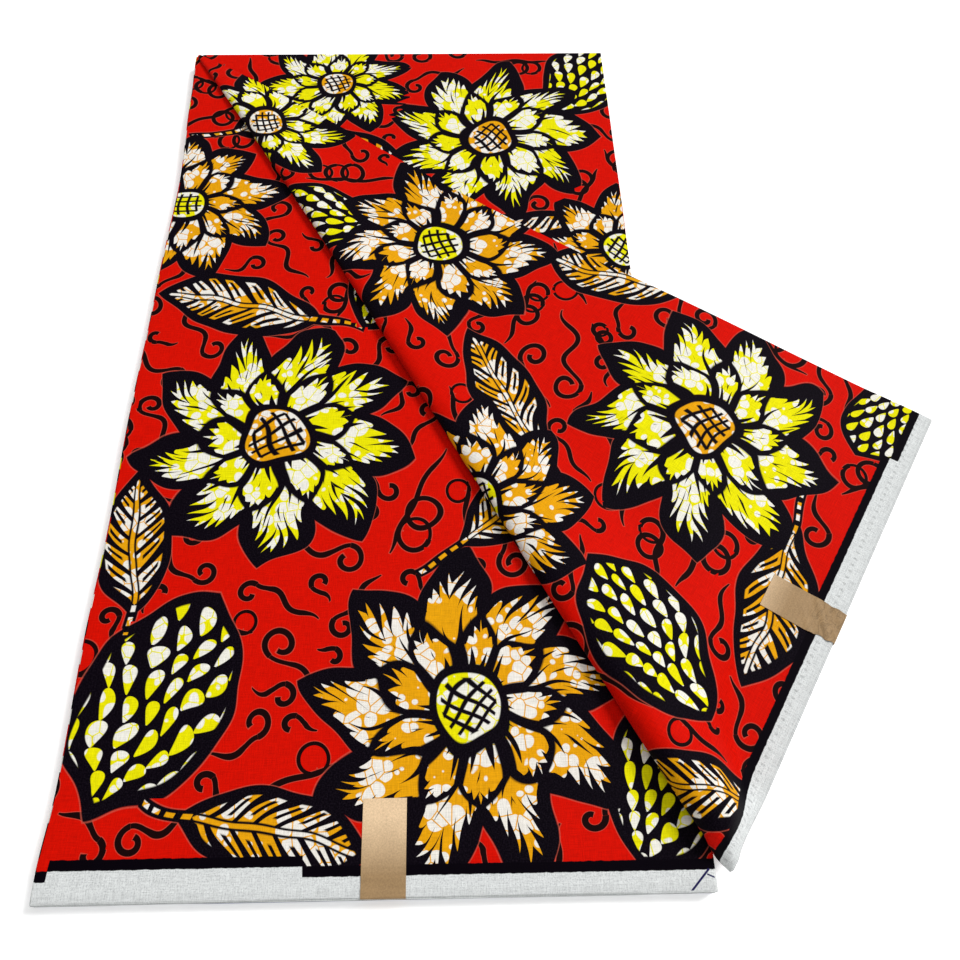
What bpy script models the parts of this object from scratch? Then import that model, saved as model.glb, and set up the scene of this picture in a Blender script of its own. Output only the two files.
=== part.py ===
# Length of printed cotton, folded into a flat stack with its top panel turned over on the diagonal
import math

import bmesh
import bpy
from mathutils import Vector

# Sizes in metres. The origin is the middle of the stack's underside, +Y runs to the folded far edge.
PANEL_WIDTH = 0.305
PANEL_LENGTH = 0.580
STACKED_PANELS = 17
PANEL_THICKNESS = 0.0006
GAP = 0.0003

# Edge of the stack: each ridge is the rounded edge of two panels
EDGE_RIDGES = 8
RIDGE_DEPTH = 0.0008
RIDGE_STAGGER = 0.0005
RIDGE_STAGGER_TURN = 2.4
RIDGE_FACE_START = 0.22
RIDGE_FACE_END = 0.78
TOP_RIDGE_FACE_END = 0.55
TOP_EDGE_DEPTH = 0.0022
CORNER_RADIUS = 0.003
CORNER_RADIUS_LEAST = 0.00075
CORNER_STEPS = 5
SHARP_EDGE_DEGREES = 50

# Turned panel: the wall stands for its two layers of cloth
WALL = 0.001
LAYER_RISE = WALL + GAP
SELVEDGE_OVERHANG = 0.004
FOLD_OVERRUN = 0.0105
FOLD_BOW = 0.002
FOLD_BOW_CREST = 0.18
FOLD_BOW_HALF_WAVE = 0.42
ROLL_RADIUS_FAR = 0.0009
ROLL_GROWTH = 0.0115
ROLL_SLOPE_LENGTH = 5.0
CUT_HOLLOW = 0.015
CUT_HOLLOW_SPAN = 0.64
FAR_TIP_CUT = 0.003
NEAR_TIP_CUT = 0.004

# The open end of the roll sags over the stack's near right corner
TIP_BEND_START = 0.632
TIP_BEND_RADIUS = 0.016
TIP_GATHER = 0.22
TIP_GATHER_START = 0.590
TIP_GATHER_END = 0.645

# The turned part hangs past the stack's right edge and comes down to just above the surface
DROOP_START = 0.156
DROOP_RUN = 0.070
DROOP_RUN_AT_TIP = 0.032
FLAP_CLEARANCE = 0.0003

# Rows run across the fold, columns along it
ROWS_TO_FAR_CORNER = 8
ROWS_TO_TURNED_CORNER = 23
ROWS_TO_NEAR_TIP = 12
COLUMNS = 34
FLAT_STEP = 0.014
ROLL_COLUMNS = 11
SLOPE_COLUMNS = 5

# Paper labels round the two selvedges, at the middle of each panel
LABEL_WIDTH = 0.0204
LABEL_REACH = 0.0435
LABEL_CENTRE = 0.0022
LABEL_PAPER = 0.0005
LABEL_TOP_STEPS = 6
LABEL_TURN_STEPS = 4
LABEL_TURN_RADIUS = 0.0012
LABEL_FOOT = 0.0008
SLOPE_SAMPLE = 0.001

CLOTH_RED = (0.72, 0.010, 0.002, 1.0)
CLOTH_NAVY = (0.007, 0.009, 0.014, 1.0)
CLOTH_ROUGHNESS = 0.62
PAPER_TAN = (0.56, 0.36, 0.21, 1.0)
PAPER_ROUGHNESS = 0.45

STACK_HEIGHT = STACKED_PANELS * PANEL_THICKNESS
HALF_WIDTH = PANEL_WIDTH / 2
HALF_LENGTH = PANEL_LENGTH / 2

# Fold line in plan, from the far left corner towards the near right one
FOLD_START = Vector((-HALF_WIDTH, HALF_LENGTH))
FOLD_ALONG = Vector((PANEL_WIDTH + FOLD_OVERRUN, -PANEL_LENGTH)).normalized()
FOLD_ACROSS = Vector((-FOLD_ALONG.y, FOLD_ALONG.x))


def clear_scene():
    for item in list(bpy.data.objects):
        bpy.data.objects.remove(item, do_unlink=True)


def make_material(name, colour, roughness):
    material = bpy.data.materials.new(name)
    material.use_nodes = True
    shader = material.node_tree.nodes["Principled BSDF"]
    shader.inputs["Base Color"].default_value = colour
    shader.inputs["Roughness"].default_value = roughness
    shader.inputs["Metallic"].default_value = 0.0
    material.diffuse_color = colour
    return material


def add_object(name, mesh, material, collection):
    item = bpy.data.objects.new(name, mesh)
    mesh.materials.append(material)
    collection.objects.link(item)
    return item


def shade_soft(mesh):
    mesh.shade_smooth()
    mesh.set_sharp_from_angle(angle=math.radians(SHARP_EDGE_DEGREES))


def smooth_step(value):
    value = min(max(value, 0.0), 1.0)
    return value * value * (3 - 2 * value)


# Folded stack

def rounded_outline(inset):
    """Plan outline of the stack, drawn in by the inset."""
    radius = max(CORNER_RADIUS - inset, CORNER_RADIUS_LEAST)
    across = HALF_WIDTH - inset - radius
    along = HALF_LENGTH - inset - radius
    outline = []
    for quarter, (side_x, side_y) in enumerate(((1, 1), (-1, 1), (-1, -1), (1, -1))):
        for step in range(CORNER_STEPS + 1):
            angle = (quarter + step / CORNER_STEPS) * math.pi / 2
            x = side_x * across + radius * math.cos(angle)
            y = side_y * along + radius * math.sin(angle)
            outline.append((x, y))
    return outline


def stack_levels():
    """(height, inset) pairs up the stack's edge, a soft ridge for every two panels."""
    pitch = STACK_HEIGHT / EDGE_RIDGES
    levels = []
    for ridge in range(EDGE_RIDGES):
        stagger = RIDGE_STAGGER * (1 + math.sin(RIDGE_STAGGER_TURN * ridge)) / 2
        face_end = TOP_RIDGE_FACE_END if ridge == EDGE_RIDGES - 1 else RIDGE_FACE_END
        levels.append((ridge * pitch, RIDGE_DEPTH + stagger))
        levels.append(((ridge + RIDGE_FACE_START) * pitch, stagger))
        levels.append(((ridge + face_end) * pitch, stagger))
    levels.append((STACK_HEIGHT, TOP_EDGE_DEPTH))
    return levels


def make_stack(collection):
    shape = bmesh.new()
    rings = []
    for height, inset in stack_levels():
        rings.append([shape.verts.new((x, y, height)) for x, y in rounded_outline(inset)])
    count = len(rings[0])
    for lower, upper in zip(rings, rings[1:]):
        for index in range(count):
            after = (index + 1) % count
            shape.faces.new((lower[index], lower[after], upper[after], upper[index]))
    shape.faces.new(reversed(rings[0]))
    shape.faces.new(rings[-1])
    mesh = bpy.data.meshes.new("folded_stack")
    shape.to_mesh(mesh)
    shape.free()
    shade_soft(mesh)
    material = make_material("printed cotton stack", CLOTH_RED, CLOTH_ROUGHNESS)
    add_object("folded_stack", mesh, material, collection)


# Turned panel, laid out flat first: "along" is the distance down the fold line from the far left
# corner, "across" the distance from that line, below zero on the part that stays down

def flat_corner(x, y):
    offset = Vector((x, y)) - FOLD_START
    return offset.dot(FOLD_ALONG), -offset.dot(FOLD_ACROSS)


FAR_CORNER = flat_corner(HALF_WIDTH, HALF_LENGTH)
TURNED_CORNER = flat_corner(-HALF_WIDTH, -HALF_LENGTH - SELVEDGE_OVERHANG)
NEAR_CORNER = flat_corner(HALF_WIDTH, -HALF_LENGTH - SELVEDGE_OVERHANG)


def between(start, end, along):
    share = (along - start[0]) / (end[0] - start[0])
    return start[1] + share * (end[1] - start[1])


def lying_limit(along):
    """Across at the edge of the part that stays down."""
    if along < FAR_CORNER[0]:
        return between((0, 0), FAR_CORNER, along)
    return between(FAR_CORNER, NEAR_CORNER, along)


def turned_limit(along):
    """Across at the edge of the part that is turned over. Its cut edge is a little hollow."""
    if along > TURNED_CORNER[0]:
        return between(TURNED_CORNER, NEAR_CORNER, along)
    edge_length = along / TURNED_CORNER[0] * (PANEL_LENGTH + SELVEDGE_OVERHANG)
    hollow = CUT_HOLLOW * math.sin(math.pi * edge_length / CUT_HOLLOW_SPAN) ** 2
    return between((0, 0), TURNED_CORNER, along) - hollow


def fold_bow(along):
    return FOLD_BOW * math.cos(math.pi * (along - FOLD_BOW_CREST) / FOLD_BOW_HALF_WAVE)


def roll_radius(along):
    return ROLL_RADIUS_FAR + ROLL_GROWTH * along


def roll_profile(arc, radius):
    """(across, height) at an arc length round the soft roll, from where the cloth leaves the stack."""
    if arc <= 0:
        return radius - arc, 0.0
    if arc <= math.pi * radius:
        turn = arc / radius
        return radius - radius * math.sin(turn), radius * (1 - math.cos(turn))
    run = arc - math.pi * radius
    slope_length = ROLL_SLOPE_LENGTH * radius
    fall = 2 * radius - LAYER_RISE
    slope_share = min(run / slope_length, 1.0)
    height = LAYER_RISE + fall * (1 + math.cos(math.pi * slope_share)) / 2
    # The slope takes up a little more cloth than its plan length
    taken_up = (math.pi * fall / 2) ** 2 / (4 * slope_length) * slope_share
    return radius + run - taken_up, height


def droop(x, gather):
    run = DROOP_RUN + (DROOP_RUN_AT_TIP - DROOP_RUN) * gather
    full = STACK_HEIGHT + GAP + LAYER_RISE - FLAP_CLEARANCE
    return full * smooth_step((x - DROOP_START) / run)


def tip_bend(along):
    """(distance along the fold, fall) once the roll's end bends down."""
    if along < TIP_BEND_START:
        return along, 0.0
    turn = (along - TIP_BEND_START) / TIP_BEND_RADIUS
    return TIP_BEND_START + TIP_BEND_RADIUS * math.sin(turn), TIP_BEND_RADIUS * (1 - math.cos(turn))


def cloth_point(along, across):
    """Where a point of the flat panel lies once the panel is turned over."""
    radius = roll_radius(along)
    bow = fold_bow(along)
    arc = across + radius + bow
    side, rise = roll_profile(arc, radius)
    gather = smooth_step((along - TIP_GATHER_START) / (TIP_GATHER_END - TIP_GATHER_START))
    if arc > math.pi * radius:
        side = radius + (side - radius) * (1 - TIP_GATHER * gather)
    reach, fall = tip_bend(along)
    plan = FOLD_START + FOLD_ALONG * reach + FOLD_ACROSS * (side + bow)
    turned = smooth_step(arc / (math.pi * radius))
    height = STACK_HEIGHT + GAP + WALL / 2 + rise - turned * droop(plan.x, gather) - fall
    return Vector((plan.x, plan.y, height))


def column_arcs(along):
    """Across values of one row, closer together round the roll."""
    radius = roll_radius(along)
    start = lying_limit(along)
    end = turned_limit(along)
    lift = -(radius + fold_bow(along))
    crest = lift + math.pi * radius
    foot = crest + ROLL_SLOPE_LENGTH * radius
    spans = (
        (start, lift, 1 / FLAT_STEP),
        (lift, crest, ROLL_COLUMNS / (crest - lift)),
        (crest, foot, SLOPE_COLUMNS / (foot - crest)),
        (foot, end, 1 / FLAT_STEP),
    )
    pieces = []
    for low, high, density in spans:
        low = max(low, start)
        high = min(high, end)
        if high > low:
            pieces.append((low, high, density))
    total = sum((high - low) * density for low, high, density in pieces)
    values = []
    for column in range(COLUMNS + 1):
        wanted = total * column / COLUMNS
        for low, high, density in pieces:
            held = (high - low) * density
            if wanted <= held or (low, high, density) == pieces[-1]:
                values.append(min(low + wanted / density, high))
                break
            wanted -= held
    return values


def row_places():
    far_tip = FAR_TIP_CUT
    near_tip = NEAR_CORNER[0] - NEAR_TIP_CUT
    legs = (
        (far_tip, FAR_CORNER[0], ROWS_TO_FAR_CORNER),
        (FAR_CORNER[0], TURNED_CORNER[0], ROWS_TO_TURNED_CORNER),
        (TURNED_CORNER[0], near_tip, ROWS_TO_NEAR_TIP),
    )
    places = [far_tip]
    for start, end, count in legs:
        places += [start + (end - start) * step / count for step in range(1, count + 1)]
    return places


def add_grid(name, rows, thickness, material, collection):
    """Open surface through rows of points, thickened evenly to both sides."""
    shape = bmesh.new()
    lines = [[shape.verts.new(point) for point in row] for row in rows]
    for first, second in zip(lines, lines[1:]):
        for index in range(len(first) - 1):
            shape.faces.new((first[index], second[index], second[index + 1], first[index + 1]))
    mesh = bpy.data.meshes.new(name)
    shape.to_mesh(mesh)
    shape.free()
    shade_soft(mesh)
    item = add_object(name, mesh, material, collection)
    wall = item.modifiers.new("Wall", "SOLIDIFY")
    wall.thickness = thickness
    wall.offset = 0.0
    wall.use_even_offset = True
    return item


def make_turned_panel(collection):
    rows = []
    for along in row_places():
        rows.append([cloth_point(along, across) for across in column_arcs(along)])
    material = make_material("printed cotton panel", CLOTH_NAVY, CLOTH_ROUGHNESS)
    add_grid("turned_panel", rows, WALL, material, collection)


# Paper labels

def label_path(drop):
    """(inward, up) pairs from the label's inner end, over the selvedge and down by the drop."""
    path = []
    for step in range(LABEL_TOP_STEPS + 1):
        inward = LABEL_REACH + (LABEL_TURN_RADIUS - LABEL_REACH) * step / LABEL_TOP_STEPS
        path.append((inward, 0.0))
    for step in range(1, LABEL_TURN_STEPS + 1):
        turn = math.pi / 2 * step / LABEL_TURN_STEPS
        inward = LABEL_TURN_RADIUS * (1 - math.sin(turn))
        path.append((inward, LABEL_TURN_RADIUS * (math.cos(turn) - 1)))
    path.append((0.0, -drop))
    return path


def label_sides():
    return (LABEL_CENTRE - LABEL_WIDTH / 2, LABEL_CENTRE, LABEL_CENTRE + LABEL_WIDTH / 2)


def make_near_label(material, collection):
    lift = GAP + LABEL_PAPER / 2
    rows = []
    for inward, up in label_path(STACK_HEIGHT + lift - LABEL_FOOT):
        y = -HALF_LENGTH - lift + inward
        z = STACK_HEIGHT + lift + up
        rows.append([Vector((x, y, z)) for x in label_sides()])
    add_grid("label_near", rows, LABEL_PAPER, material, collection)


def panel_frame(x, y):
    """A point of the turned panel with its normal and the way out over the selvedge."""
    here = cloth_point(*flat_corner(x, y))
    sideways = cloth_point(*flat_corner(x + SLOPE_SAMPLE, y)) - here
    inwards = cloth_point(*flat_corner(x, y + SLOPE_SAMPLE)) - here
    normal = sideways.cross(inwards).normalized()
    if normal.z < 0:
        normal = -normal
    return here, normal, -inwards.normalized()


def make_turned_label(material, collection):
    lift = WALL / 2 + GAP + LABEL_PAPER / 2
    rows = []
    for inward, up in label_path(lift + WALL / 2):
        row = []
        for x in label_sides():
            y = -HALF_LENGTH - SELVEDGE_OVERHANG + max(inward - lift, 0.0)
            here, normal, outwards = panel_frame(x, y)
            overhang = max(lift - inward, 0.0)
            row.append(here + normal * (lift + up) + outwards * overhang)
        rows.append(row)
    add_grid("label_turned", rows, LABEL_PAPER, material, collection)


def main():
    clear_scene()
    collection = bpy.data.collections.new("ankara fabric")
    bpy.context.scene.collection.children.link(collection)
    make_stack(collection)
    make_turned_panel(collection)
    paper = make_material("tan paper", PAPER_TAN, PAPER_ROUGHNESS)
    make_near_label(paper, collection)
    make_turned_label(paper, collection)


main()
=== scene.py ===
import math
import random

import bpy
import numpy as np
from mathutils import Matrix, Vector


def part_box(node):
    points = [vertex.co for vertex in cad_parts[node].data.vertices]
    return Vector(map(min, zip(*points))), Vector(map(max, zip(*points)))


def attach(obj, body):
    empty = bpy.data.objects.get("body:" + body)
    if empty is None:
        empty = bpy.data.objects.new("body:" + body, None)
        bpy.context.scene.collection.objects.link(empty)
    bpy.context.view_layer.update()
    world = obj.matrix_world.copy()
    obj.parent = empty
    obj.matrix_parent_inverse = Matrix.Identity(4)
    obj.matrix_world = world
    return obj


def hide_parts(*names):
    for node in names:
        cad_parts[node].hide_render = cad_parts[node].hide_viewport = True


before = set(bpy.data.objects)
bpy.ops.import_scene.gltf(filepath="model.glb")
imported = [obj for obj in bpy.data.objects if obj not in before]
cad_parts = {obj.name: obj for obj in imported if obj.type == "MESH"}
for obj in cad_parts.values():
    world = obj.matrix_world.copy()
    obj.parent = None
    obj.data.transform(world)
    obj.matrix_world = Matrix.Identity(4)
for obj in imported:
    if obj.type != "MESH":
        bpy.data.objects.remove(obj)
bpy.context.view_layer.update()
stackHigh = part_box("folded_stack")[1]
halfWidth, halfLength, stackTop = stackHigh.x, stackHigh.y, stackHigh.z
mm = 0.001
print("frame loaded")


def mathsNode(operation):
    # a Wire's method that adds one Math node
    return lambda wire, *others: wire.maths(operation, *others)


# Shader maths: a sum on a Wire adds its Math node
class Wire:
    def __init__(self, net, socket):
        self.net = net
        self.socket = socket

    def maths(self, operation, *others):
        return self.net.node("ShaderNodeMath", {"operation": operation}, dict(enumerate((self, *others))))

    def beside(self, name):
        # another output of the same node
        return Wire(self.net, self.socket.node.outputs[name])

    def __rsub__(self, other):
        return self.net.node("ShaderNodeMath", {"operation": "SUBTRACT"}, {0: other, 1: self})

    __add__ = __radd__ = mathsNode("ADD")
    __mul__ = __rmul__ = mathsNode("MULTIPLY")
    __sub__ = mathsNode("SUBTRACT")
    __truediv__ = mathsNode("DIVIDE")
    __abs__ = mathsNode("ABSOLUTE")
    __or__ = mathsNode("MAXIMUM")
    __and__ = mathsNode("MINIMUM")
    root = mathsNode("SQRT")
    sin = mathsNode("SINE")
    cos = mathsNode("COSINE")
    angleFrom = mathsNode("ARCTAN2")
    floor = mathsNode("FLOOR")
    nearest = mathsNode("ROUND")
    rest = mathsNode("FRACT")


class Net:
    def __init__(self, name):
        self.material = bpy.data.materials.new(name)
        self.material.use_nodes = True
        self.tree = self.material.node_tree
        self.shader = self.tree.nodes["Principled BSDF"]

    def node(self, kind, settings, inputs, output=0):
        made = self.tree.nodes.new(kind)
        for name, value in settings.items():
            setattr(made, name, value)
        for name, value in inputs.items():
            self.feed(made.inputs[name], value)
        return Wire(self, made.outputs[output])

    def feed(self, socket, value):
        if isinstance(value, Wire):
            self.tree.links.new(value.socket, socket)
        else:
            socket.default_value = value

    def parts(self, vector):
        x = self.node("ShaderNodeSeparateXYZ", {}, {0: vector}, "X")
        return x, x.beside("Y"), x.beside("Z")

    def vector(self, x, y, z=0.0):
        return self.node("ShaderNodeCombineXYZ", {}, {"X": x, "Y": y, "Z": z})

    def uv(self, name):
        return self.node("ShaderNodeUVMap", {"uv_map": name}, {})

    def numbers(self, name):
        # the three numbers that each face carries under this name
        return self.parts(self.node("ShaderNodeAttribute", {"attribute_name": name}, {}, "Vector"))

    def chance(self, *place):
        return self.node("ShaderNodeTexWhiteNoise", {}, {"Vector": self.vector(*place)})

    def noise(self, place, scale, detail, roughness=0.5, distortion=0.0, output=0):
        inputs = {"Vector": place, "Scale": scale, "Detail": detail, "Roughness": roughness,
                  "Distortion": distortion}
        return self.node("ShaderNodeTexNoise", {"noise_dimensions": "2D"}, inputs, output)

    def colour(self, share, below, above):
        inputs = {"Factor": share, 6: below, 7: above}
        return self.node("ShaderNodeMix", {"data_type": "RGBA"}, inputs, 2)

    def scaled(self, vector, share):
        return self.node("ShaderNodeVectorMath", {"operation": "SCALE"}, {0: vector, "Scale": share})

    def bump(self, height, distance, strength):
        inputs = {"Height": height, "Distance": distance, "Strength": strength}
        return self.node("ShaderNodeBump", {}, inputs)

    def finish(self, inputs):
        for name, value in inputs.items():
            self.feed(self.shader.inputs[name], value)
        return self.material


def over(value, soft):
    # 0 below zero, 1 above it, with a soft step
    inputs = {0: value, 1: 1 / soft, 2: 0.5}
    return value.net.node("ShaderNodeMath", {"operation": "MULTIPLY_ADD", "use_clamp": True}, inputs)


def within(value, low, high, soft):
    return over(value - low, soft) * over(high - value, soft)


def mixed(share, first, second):
    # the first number where the share is 0, the second where it is 1
    return first + share * (second - first)


def inkOf(red, green, blue):
    # a screen colour of 0 to 255 as the linear colour that shaders use
    shares = [part / 255 for part in (red, green, blue)]
    return (*[s / 12.92 if s <= 0.04045 else ((s + 0.055) / 1.055) ** 2.4 for s in shares], 1.0)


# The print: sizes are in millimetres, places are from the panel's middle
inks = {"red": inkOf(215, 14, 0), "navy": inkOf(4, 0, 7), "worn": inkOf(26, 19, 29), "brown": inkOf(24, 5, 6),
        "yellow": inkOf(238, 231, 4), "orange": inkOf(234, 164, 12), "white": inkOf(243, 241, 234),
        "halo": inkOf(204, 92, 74), "selvedge": inkOf(227, 230, 229), "mottle": inkOf(172, 174, 177),
        "pen": inkOf(34, 30, 84), "blue": inkOf(96, 104, 170)}

bloomColumns = ("x", "y", "size", "turn", "ink")
leafColumns = ("x", "y", "size", "turn", "kind")
layouts = {
    "stack": {
        "seed": 5,
        "blooms": ((-66, -48, 75, 10, "yellow"), (42, -206, 77, 32, "orange"), (-146, 136, 64, 70, "orange"),
                   (96, 62, 66, 15, "orange"), (150, -90, 48, 0, "yellow"), (20, 226, 66, 40, "yellow")),
        "leaves": ((-98, 50, 53, 167, "leaf"), (-112, -200, 61, 66, "pod"), (-136, -112, 45, 96, "leaf"),
                   (70, -92, 43, 40, "leaf"), (-48, -263, 48, -12, "leaf"), (2, 70, 45, 60, "pod"),
                   (126, 190, 47, 80, "leaf"), (-74, 226, 50, 20, "leaf"), (138, -238, 48, 64, "pod"))},
    "back": {
        "seed": 11,
        "blooms": ((-92, 30, 71, 25, "orange"), (-66, -180, 75, 0, "yellow"), (58, -90, 64, 12, "orange"),
                   (-118, 198, 58, 30, "yellow"), (80, 60, 64, 0, "yellow"), (40, 220, 64, 0, "orange")),
        "leaves": ((-16, -66, 52, 122, "leaf"), (-132, -80, 48, 76, "leaf"), (70, -204, 51, 112, "pod"),
                   (8, -258, 52, -8, "leaf"), (126, -258, 45, 60, "leaf"), (-62, 116, 45, 70, "pod"),
                   (132, -80, 43, 80, "leaf"), (-40, 262, 43, 0, "leaf"), (-140, -272, 39, 14, "pod"))},
    "face": {
        "seed": 23,
        "blooms": ((66, 200, 72, 20, "yellow"), (-46, 256, 52, 0, "yellow"), (150, 92, 56, 30, "orange"),
                   (-90, 60, 64, 0, "yellow"), (50, -40, 68, 0, "orange"), (-70, -140, 68, 40, "yellow")),
        "leaves": ((-26, 180, 50, 140, "leaf"), (138, 262, 49, 60, "pod"), (84, 106, 50, 6, "leaf"),
                   (-110, 160, 43, 80, "pod"), (10, 76, 45, 40, "leaf"), (130, -160, 45, 90, "leaf"),
                   (60, -230, 46, 10, "pod"), (-20, -60, 45, 100, "leaf"))},
}

# One unit is the bloom's radius: it holds the faces within its claim, and curls stay outside its heart
bloom = {"petals": 9, "swirl": 0.34, "margin": 0.094, "claim": 1.16, "heart": 0.90, "overlap": 0.45,
         "disc": 0.225, "rim": 0.062, "hatch": 0.088, "line": 0.0145, "turn": 0.35, "seam": 0.040,
         "teeth": 15.0, "slant": 0.30, "shortest": 0.35, "uneven": 0.8,
         "outer": {"shift": 0.0, "from": 0.24, "to": 1.0, "wide": 0.185, "base": 0.72, "tip": 0.44},
         "inner": {"shift": 0.5, "from": 0.17, "to": 0.62, "wide": 0.122, "base": 0.56, "tip": 0.24}}

# One unit is half the leaf's or pod's length, and its claim past its outline is in millimetres
leaf = {"wide": 0.43, "margin": 0.106, "pairs": 4.1, "slant": 1.15, "cell": 0.75, "taper": 0.60, "gap": 0.042,
        "slit": 0.20, "slitSpan": (0.24, 0.66), "rib": 0.020, "ribSpan": (-0.92, 0.86), "claim": 6.5,
        "stalk": 1.55, "stalkEnd": 0.85, "stalkHalf": 0.06, "bendFrom": 0.95, "bend": 0.22, "dash": 0.024,
        "dashes": 7.0}
pod = {"wide": 0.64, "margin": 0.096, "rows": 4.6, "fan": 1.05, "root": 1.08, "full": 1.42, "uneven": 0.4}

# One unit is the curl's outer radius: its sizes, stroke and pitch are in millimetres
curl = {"sizes": (6.2, 9.4), "shrink": 2.5, "stroke": 1.55, "pitch": 5.2, "uneven": (0.9, 1.1), "turns": 0.74,
        "open": (0.75, 1.0), "looped": 0.45, "loopPitch": 0.10, "loopLift": 0.4, "coil": 1.45,
        "coils": (0, 1, 1, 2), "tail": (3.4, 7.0), "back": (0.8, 2.2), "late": 0.7, "wave": 3.8,
        "lifts": (-0.7, 0.6, 1.0), "taper": 0.55, "rim": 0.045}

# Where curls may lie, in millimetres: half sizes of the ground and of their places, and how close they come
ground = {"halfX": 164, "halfY": 300, "placeX": 158, "placeY": 292, "step": 2, "tries": 110000, "share": 0.82,
          "clear": 0.8, "tuck": 10.0, "spare": 2.1, "tailParts": 6}


def rowsOf(columns, table):
    return [dict(zip(columns, row)) for row in table]


def localPlaces(points, motif):
    # the motif's own coordinates of points in the sheet, both in metres
    angle = math.radians(motif["turn"])
    x = points[..., 0] - motif["x"] * mm
    y = points[..., 1] - motif["y"] * mm
    size = motif["size"] * mm
    along = (x * math.cos(angle) + y * math.sin(angle)) / size
    across = (y * math.cos(angle) - x * math.sin(angle)) / size
    return np.stack([along, across * motif.get("flip", 1)], axis=-1)


def bloomSpan(local):
    return np.hypot(local[..., 0], local[..., 1]) / bloom["claim"]


def lensArc(long, wide):
    # (radius, distance of its middle past the axis) of the arcs that bound a petal, leaf or pod
    radius = (long ** 2 + wide ** 2) / (2 * wide)
    return radius, radius - wide


def stalkMiddle(x):
    # the stalk bends away from the leaf's middle line
    return (x + leaf["bendFrom"]) * (x + leaf["bendFrom"]) * leaf["bend"]


def leafSpan(local, motif):
    # distance from the leaf's or pod's outline, or the leaf's stalk, in shares of the claim's reach
    x, y = local[..., 0], local[..., 1]
    isLeaf = motif["kind"] == "leaf"
    arc, inset = lensArc(1, leaf["wide"] if isLeaf else pod["wide"])
    outside = np.hypot(x, np.abs(y) + inset) - arc
    if isLeaf:
        pastEnds = np.maximum(np.maximum(-leaf["stalk"] - x, x + leaf["stalkEnd"]), 0)
        outside = np.minimum(outside, np.hypot(y - stalkMiddle(x), pastEnds) - leaf["stalkHalf"])
    return np.maximum(outside * motif["size"] / leaf["claim"], -5.0)


def curlCircles(motif):
    # (place, radius) of the circles that hold a curl: its spiral, and its tail in parts
    spare = (curl["stroke"] + ground["spare"]) / motif["size"]
    circles = [(np.array([coil * curl["coil"], 0.0]), 1 + spare) for coil in range(motif["coils"] + 1)]
    low, high = -motif["back"], motif["reach"]
    part = (high - low) / ground["tailParts"]
    for number in range(ground["tailParts"]):
        x = low + part * (number + 0.5)
        y = (1 - math.cos(x * math.tau / curl["wave"])) * motif["lift"] / 2 - 1
        circles.append((np.array([x, y]), part / 2 + spare + abs(motif["lift"]) * 0.15))
    return circles


def curlSpan(local, motif):
    spans = [np.hypot(*np.moveaxis(local - place, -1, 0)) / radius for place, radius in curlCircles(motif)]
    return np.min(spans, axis=0)


def drawCurl(dice, x, y, size, late):
    # a tendril by chance: a hook or loops in a row, with a tail that is shorter the later it comes
    looped = dice.random() < curl["looped"]
    pitch = curl["loopPitch"] if looped else curl["pitch"] * dice.uniform(*curl["uneven"]) / size
    turns = 1.0 if looped else curl["turns"] / pitch * dice.uniform(*curl["open"])
    motif = {"x": x, "y": y, "size": size, "pitch": pitch, "turns": turns,
             "turn": dice.uniform(0, 360), "flip": dice.choice((-1, 1)),
             "coils": dice.choice(curl["coils"]) if looped else 0,
             "back": dice.uniform(*curl["back"]) if looped else 0.0,
             "reach": dice.uniform(*curl["tail"]) * (1 - curl["late"] * late),
             "lift": dice.choice(curl["lifts"])}
    if looped:
        motif["lift"] *= curl["loopLift"]
        motif["reach"] += motif["coils"] * curl["coil"]
    return motif


def curlSpots(motif):
    # (x, y, radius) of the curl's circles in the sheet, in millimetres
    angle = math.radians(motif["turn"])
    size = motif["size"]
    spots = []
    for place, radius in curlCircles(motif):
        along, across = place[0], place[1] * motif["flip"]
        x = motif["x"] + size * (along * math.cos(angle) - across * math.sin(angle))
        y = motif["y"] + size * (along * math.sin(angle) + across * math.cos(angle))
        spots.append((x, y, radius * size * ground["share"]))
    return spots


def scatterCurls(seed, blooms, leaves):
    # tendrils at random places that are free of blooms, leaves and each other
    dice = random.Random(seed)
    halfX, halfY, step = ground["halfX"], ground["halfY"], ground["step"]
    raster = np.meshgrid(*[np.arange(-half, half + 1, step) * mm for half in (halfX, halfY)])
    raster = np.stack(raster, axis=-1)
    heart = bloom["heart"]
    away = [(bloomSpan(localPlaces(raster, one)) * bloom["claim"] - heart) * one["size"] for one in blooms]
    away += [leafSpan(localPlaces(raster, one), one) * leaf["claim"] for one in leaves]
    away = np.min(away, axis=0)

    def awayFrom(x, y):
        # how far a place is from the nearest bloom or leaf
        row = round((min(max(y, -halfY), halfY) + halfY) / step)
        return away[row, round((min(max(x, -halfX), halfX) + halfX) / step)]

    found = []
    taken = np.full((1, 3), 1000.0)
    for attempt in range(ground["tries"]):
        late = attempt / ground["tries"]
        size = dice.uniform(*curl["sizes"]) - late * curl["shrink"]
        x = dice.uniform(-ground["placeX"], ground["placeX"])
        y = dice.uniform(-ground["placeY"], ground["placeY"])
        if awayFrom(x, y) < size * ground["clear"]:
            continue
        motif = drawCurl(dice, x, y, size, late)
        spots = curlSpots(motif)
        heads = motif["coils"] + 1
        if any(awayFrom(*spot[:2]) < size * ground["clear"] for spot in spots[:heads]):
            continue
        if any(awayFrom(*spot[:2]) < -ground["tuck"] for spot in spots[heads:]):
            continue
        circles = np.array(spots)[:, None]
        gaps = np.hypot(circles[..., 0] - taken[:, 0], circles[..., 1] - taken[:, 1])
        if (gaps < circles[..., 2] + taken[:, 2]).any():
            continue
        found.append(motif)
        taken = np.concatenate([taken, circles[:, 0]])
    return found


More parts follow.
